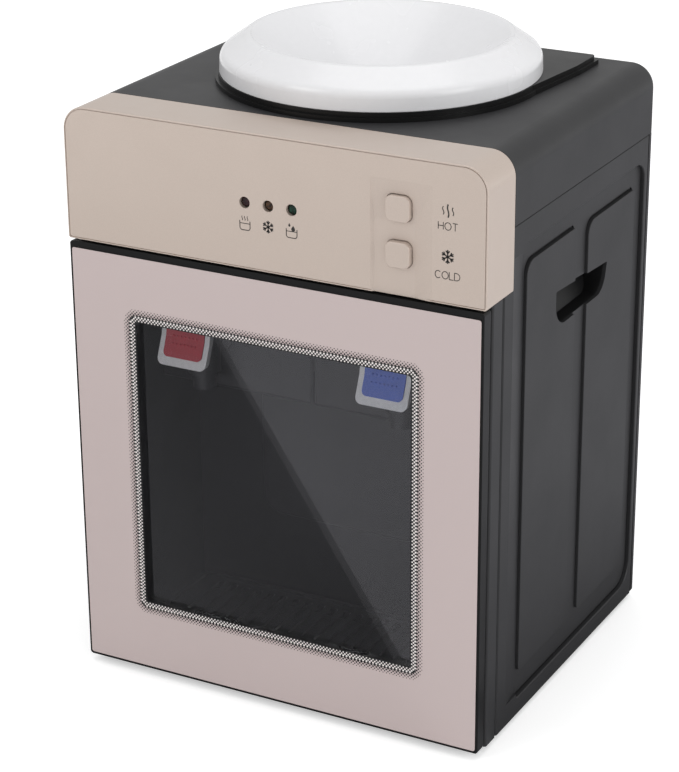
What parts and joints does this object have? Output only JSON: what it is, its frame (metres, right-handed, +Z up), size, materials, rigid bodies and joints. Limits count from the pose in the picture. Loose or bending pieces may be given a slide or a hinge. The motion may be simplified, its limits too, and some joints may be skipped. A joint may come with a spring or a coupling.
{
  "type": "countertop water dispenser",
  "caption": "Countertop hot and cold water dispenser: boxy dark body, metallic control panel, glass door over the taps, and a white bottle seat on top",
  "frame": {"origin": "centre of the bounding box in plan, at the plane the rubber feet stand on", "axes": "+Z up, -Y out of the front (door side), +X to the right of someone facing the front"},
  "size_m": [0.27, 0.242, 0.3876],
  "materials": {
    "champagne": "satin metallic",
    "dark_shell": "fine satin",
    "gloss_black": "gloss",
    "white_collar": "gloss",
    "door_glass": "polished, printed border",
    "bay_dark": "satin",
    "red_insert": "satin",
    "blue_insert": "satin",
    "lever_grey": "satin",
    "black_rubber": "matt",
    "silicone": "satin",
    "stainless": "brushed",
    "bright_steel": "polished",
    "zinc_sheet": "satin",
    "magnet": "satin",
    "aluminium": "machined",
    "foam": "matt",
    "circuit_board": "satin",
    "component_black": "matt",
    "led_red": "gloss",
    "led_amber": "gloss",
    "led_green": "gloss",
    "white_inner": "matt"
  },
  "bodies": {
    "chassis": {"control_panel": "champagne", "top_cover": "dark_shell", "deck_trim": "gloss_black", "deck_plate": "gloss_black", "right_side_panel": "dark_shell", "left_side_panel": "dark_shell", "rear_cover": "dark_shell", "rear_screws": "bright_steel", "base_plate": "dark_shell", "rubber_feet": "black_rubber", "hot_tank_stand": "component_black", "front_frame": "dark_shell", "door_magnet": "magnet", "bay_liner": "bay_dark", "hot_tap_housing": "bay_dark", "cold_tap_housing": "bay_dark", "hot_tap_body": "bay_dark", "cold_tap_body": "bay_dark", "lever_pins": "bright_steel", "tap_nuts": "white_inner", "panel_board": "circuit_board", "led_heating": "led_red", "led_cooling": "led_amber", "led_keep_warm": "led_green", "button_switches": "component_black", "bottle_funnel": "white_collar", "funnel_seal": "silicone", "bottle_probe": "white_inner", "cold_tank": "stainless", "tank_insulation": "foam", "cold_block": "aluminium", "heat_sink": "aluminium", "fan_frame": "component_black", "tank_frame": "zinc_sheet", "hot_tank": "stainless", "thermostats": "component_black", "cold_hose": "silicone", "hot_hose": "silicone", "feed_hose": "silicone", "drain_hose": "silicone", "drain_spout": "white_inner", "cord_gland": "black_rubber", "power_board": "circuit_board", "power_components": "component_black"},
    "door": {"door_frame": "gloss_black", "door_glass": "door_glass", "door_pins": "bright_steel", "strike_plate": "bright_steel"},
    "hot_lever_body": {"hot_lever": "lever_grey", "hot_lever_pad": "red_insert"},
    "cold_lever_body": {"cold_lever": "lever_grey", "cold_lever_pad": "blue_insert"},
    "hot_valve": {"hot_plunger": "white_inner"},
    "cold_valve": {"cold_plunger": "white_inner"},
    "hot_button_body": {"hot_button": "champagne"},
    "cold_button_body": {"cold_button": "champagne"},
    "tray": {"drip_tray": "bay_dark"},
    "grille": {"drip_grille": "bay_dark"},
    "fan": {"fan_rotor": "component_black"},
    "drain_closure": {"drain_cap": "component_black"}
  },
  "joints": [
    {"name": "door_hinge", "type": "hinge", "parent": "chassis", "child": "door", "pos_m": [-0.131, -0.1126, 0.14], "axis": [0, 0, -1], "range_deg": [0, 94]},
    {"name": "hot_lever_press", "type": "hinge", "parent": "chassis", "child": "hot_lever_body", "pos_m": [-0.066, -0.095, 0.23], "axis": [1, 0, 0], "range_deg": [0, 12], "stiffness_Nm_per_rad": 0.5, "springref_deg": -6.88},
    {"name": "hot_valve_lift", "type": "slide", "parent": "chassis", "child": "hot_valve", "axis": [0, 0, 1], "range_m": [0, 0.0024]},
    {"name": "cold_lever_press", "type": "hinge", "parent": "chassis", "child": "cold_lever_body", "pos_m": [0.066, -0.095, 0.23], "axis": [1, 0, 0], "range_deg": [0, 12], "stiffness_Nm_per_rad": 0.5, "springref_deg": -6.88},
    {"name": "cold_valve_lift", "type": "slide", "parent": "chassis", "child": "cold_valve", "axis": [0, 0, 1], "range_m": [0, 0.0024]},
    {"name": "hot_button_press", "type": "slide", "parent": "chassis", "child": "hot_button_body", "axis": [0, 1, 0], "range_m": [0, 0.0025], "stiffness_N_per_m": 500, "springref_m": -0.001},
    {"name": "cold_button_press", "type": "slide", "parent": "chassis", "child": "cold_button_body", "axis": [0, 1, 0], "range_m": [0, 0.0025], "stiffness_N_per_m": 500, "springref_m": -0.001},
    {"name": "drip_tray_lift", "type": "slide", "parent": "chassis", "child": "tray", "axis": [0, 0, 1], "range_m": [0, 0.02]},
    {"name": "drip_grille_lift", "type": "slide", "parent": "tray", "child": "grille", "axis": [0, 0, 1], "range_m": [0, 0.02]},
    {"name": "fan_spin", "type": "hinge", "parent": "chassis", "child": "fan", "pos_m": [0, 0.098, 0.276], "axis": [0, 1, 0], "continuous": true},
    {"name": "drain_cap_turn", "type": "hinge", "parent": "chassis", "child": "drain_closure", "pos_m": [0, 0.109, 0.034], "axis": [0, 1, 0], "continuous": true}
  ],
  "couplings": [
    {"joint": "hot_valve_lift", "follows": "hot_lever_press", "m_per_rad": 0.011},
    {"joint": "cold_valve_lift", "follows": "cold_lever_press", "m_per_rad": 0.011}
  ]
}
